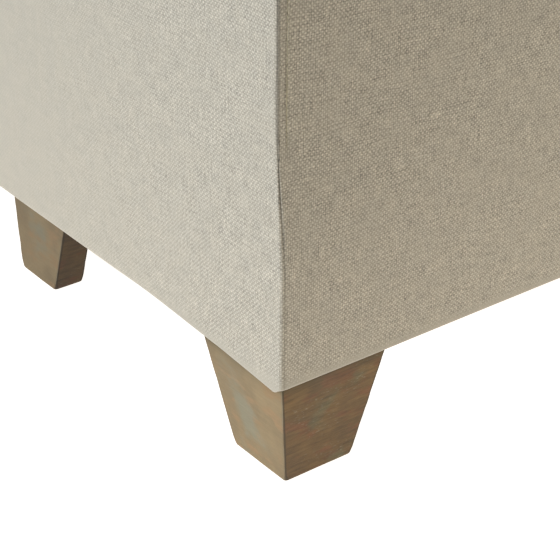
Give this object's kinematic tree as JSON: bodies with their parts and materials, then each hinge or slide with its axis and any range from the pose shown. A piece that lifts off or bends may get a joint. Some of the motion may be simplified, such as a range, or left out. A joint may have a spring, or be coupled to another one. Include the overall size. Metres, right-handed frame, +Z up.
{
  "type": "storage ottoman",
  "caption": "Rectangular linen-upholstered storage ottoman with a cushioned lift-up lid on folding stays and tapered weathered-wood feet.",
  "frame": {"origin": "on the floor, at the centre of the outer box", "axes": "+Z up, +X along the length towards the right end, front towards -Y, hinges at +Y"},
  "size_m": [0.854, 0.5074, 0.497],
  "materials": {
    "linen": "plain-weave natural linen look",
    "lining_cloth": "dark woven lining",
    "dust_cloth": "black non-woven",
    "foam": "polyurethane foam",
    "plywood": "raw plywood",
    "weathered_wood": "weathered, worn edges",
    "zinc_steel": "zinc plated",
    "hinge_steel": "brassed steel",
    "felt": "felt"
  },
  "bodies": {
    "base": {"front_panel": "plywood", "rear_panel": "plywood", "left_panel": "plywood", "right_panel": "plywood", "corner_post_front_left": "plywood", "corner_post_front_right": "plywood", "corner_post_rear_left": "plywood", "corner_post_rear_right": "plywood", "foot_front_left": "weathered_wood", "foot_front_middle": "weathered_wood", "foot_front_right": "weathered_wood", "foot_rear_left": "weathered_wood", "foot_rear_middle": "weathered_wood", "foot_rear_right": "weathered_wood", "hanger_bolt_front_left": "zinc_steel", "hanger_bolt_front_middle": "zinc_steel", "hanger_bolt_front_right": "zinc_steel", "hanger_bolt_rear_left": "zinc_steel", "hanger_bolt_rear_middle": "zinc_steel", "hanger_bolt_rear_right": "zinc_steel", "tee_nut_front_left": "zinc_steel", "tee_nut_front_middle": "zinc_steel", "tee_nut_front_right": "zinc_steel", "tee_nut_rear_left": "zinc_steel", "tee_nut_rear_middle": "zinc_steel", "tee_nut_rear_right": "zinc_steel", "front_rail": "plywood", "rear_rail": "plywood", "left_rail": "plywood", "right_rail": "plywood", "bottom_board": "plywood", "lining_walls": "lining_cloth", "lining_floor": "lining_cloth", "front_pad": "foam", "rear_pad": "foam", "left_pad": "foam", "right_pad": "foam", "body_cover": "linen", "dust_cover": "dust_cloth", "bumper_left": "felt", "bumper_right": "felt", "hinge_base_leaf_left": "hinge_steel", "hinge_pin_left": "zinc_steel", "hinge_base_leaf_right": "hinge_steel", "hinge_pin_right": "zinc_steel", "stay_plate_left": "zinc_steel", "stay_plate_right": "zinc_steel"},
    "lid": {"lid_board": "plywood", "lid_foam": "foam", "lid_cover": "linen", "lid_lining": "lining_cloth", "hinge_lid_leaf_left": "hinge_steel", "hinge_lid_leaf_right": "hinge_steel", "stay_lid_bracket_left": "zinc_steel", "stay_lid_bracket_right": "zinc_steel"},
    "stay_lower_left": {"stay_lower_arm_left": "zinc_steel"},
    "stay_upper_left": {"stay_upper_arm_left": "zinc_steel"},
    "stay_lower_right": {"stay_lower_arm_right": "zinc_steel"},
    "stay_upper_right": {"stay_upper_arm_right": "zinc_steel"}
  },
  "joints": [
    {"name": "lid_hinge", "type": "hinge", "parent": "base", "child": "lid", "pos_m": [0, 0.2503, 0.4195], "axis": [-1, 0, 0], "range_deg": [0, 95]},
    {"name": "stay_foot_pivot_left", "type": "hinge", "parent": "base", "child": "stay_lower_left", "pos_m": [-0.3947, 0.1753, 0.2896], "axis": [-1, 0, 0], "range_deg": [0, 95]},
    {"name": "stay_elbow_left", "type": "hinge", "parent": "stay_lower_left", "child": "stay_upper_left", "pos_m": [-0.3947, 0.02587, 0.27652], "axis": [-1, 0, 0], "range_deg": [-95, 0]},
    {"name": "stay_foot_pivot_right", "type": "hinge", "parent": "base", "child": "stay_lower_right", "pos_m": [0.3947, 0.1753, 0.2896], "axis": [-1, 0, 0], "range_deg": [0, 95]},
    {"name": "stay_elbow_right", "type": "hinge", "parent": "stay_lower_right", "child": "stay_upper_right", "pos_m": [0.3947, 0.02587, 0.27652], "axis": [-1, 0, 0], "range_deg": [-95, 0]}
  ],
  "couplings": [
    {"joint": "stay_foot_pivot_left", "follows": "lid_hinge", "ratio": 1},
    {"joint": "stay_elbow_left", "follows": "lid_hinge", "ratio": -1},
    {"joint": "stay_foot_pivot_right", "follows": "lid_hinge", "ratio": 1},
    {"joint": "stay_elbow_right", "follows": "lid_hinge", "ratio": -1}
  ]
}
